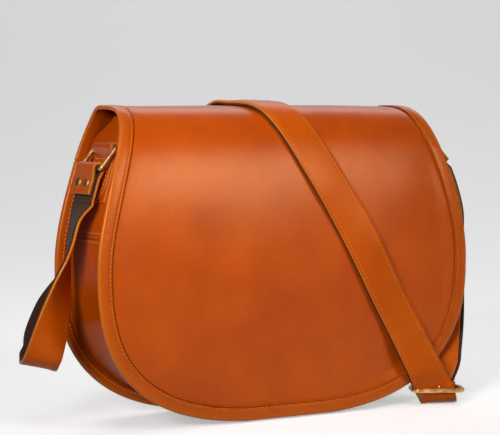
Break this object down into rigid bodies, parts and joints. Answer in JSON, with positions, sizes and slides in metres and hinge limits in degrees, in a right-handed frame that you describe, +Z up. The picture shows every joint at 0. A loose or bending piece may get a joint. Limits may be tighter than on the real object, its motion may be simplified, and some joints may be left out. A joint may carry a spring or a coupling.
{
  "type": "saddle handbag",
  "caption": "Leather saddle handbag with a full front flap, bound edges, side rings, and a webbing-lined strap that lies across the flap to a prong buckle.",
  "frame": {"origin": "middle of the base on the floor, in the bag's plane of symmetry", "axes": "+X across the width to the right as seen from the front, +Y from the flap to the back panel, +Z up"},
  "size_m": [0.4107, 0.1124, 0.2526],
  "materials": {
    "leather": "smooth semi-gloss",
    "leather_inner": "smooth semi-gloss",
    "strap_leather": "smooth semi-gloss",
    "binding": "burnished",
    "webbing": "ribbed weave",
    "brass": "antique satin",
    "snap_metal": "satin"
  },
  "bodies": {
    "bag": {"back_panel": "leather", "front_panel": "leather_inner", "gusset_left": "leather", "gusset_right": "leather", "gusset_bottom": "leather", "back_binding": "binding", "front_binding": "binding", "ring_tab_left": "leather", "ring_tab_right": "leather", "tab_rivet_left": "brass", "tab_rivet_right": "brass", "strap_back_leather": "strap_leather", "strap_back_webbing": "webbing", "short_leather": "strap_leather", "short_webbing": "webbing", "snap_body_half": "snap_metal", "inner_pocket": "leather_inner"},
    "flap": {"flap": "leather", "flap_binding": "binding", "snap_flap_half": "snap_metal", "strap_run_leather": "strap_leather", "strap_run_webbing": "webbing", "buckle_frame": "brass", "heel_leather": "strap_leather", "heel_webbing": "webbing"},
    "left_ring": {"ring_left": "brass", "end_leather_left": "strap_leather", "end_webbing_left": "webbing", "end_rivets_left": "brass"},
    "right_ring": {"ring_right": "brass", "end_leather_right": "strap_leather", "end_webbing_right": "webbing", "end_rivets_right": "brass"},
    "prong": {"buckle_prong": "brass"}
  },
  "joints": [
    {"name": "flap_hinge", "type": "hinge", "parent": "bag", "child": "flap", "pos_m": [0, 0.042, 0.205], "axis": [-1, 0, 0], "range_deg": [0, 45], "deforming": ["strap_back_leather", "strap_back_webbing", "short_leather", "short_webbing", "strap_run_leather", "strap_run_webbing"]},
    {"name": "left_ring_swing", "type": "hinge", "parent": "bag", "child": "left_ring", "pos_m": [-0.13938, 0.003, 0.216], "axis": [0, 1, 0], "range_deg": [-3, 30], "deforming": ["strap_back_leather", "strap_back_webbing"]},
    {"name": "right_ring_swing", "type": "hinge", "parent": "bag", "child": "right_ring", "pos_m": [0.13938, 0.003, 0.216], "axis": [0, -1, 0], "range_deg": [-20, 10], "deforming": ["short_leather", "short_webbing"]},
    {"name": "prong_lift", "type": "hinge", "parent": "flap", "child": "prong", "pos_m": [0.14715, -0.03386, 0.013], "axis": [-0.891, 0.454, 0], "range_deg": [0, 7]}
  ]
}
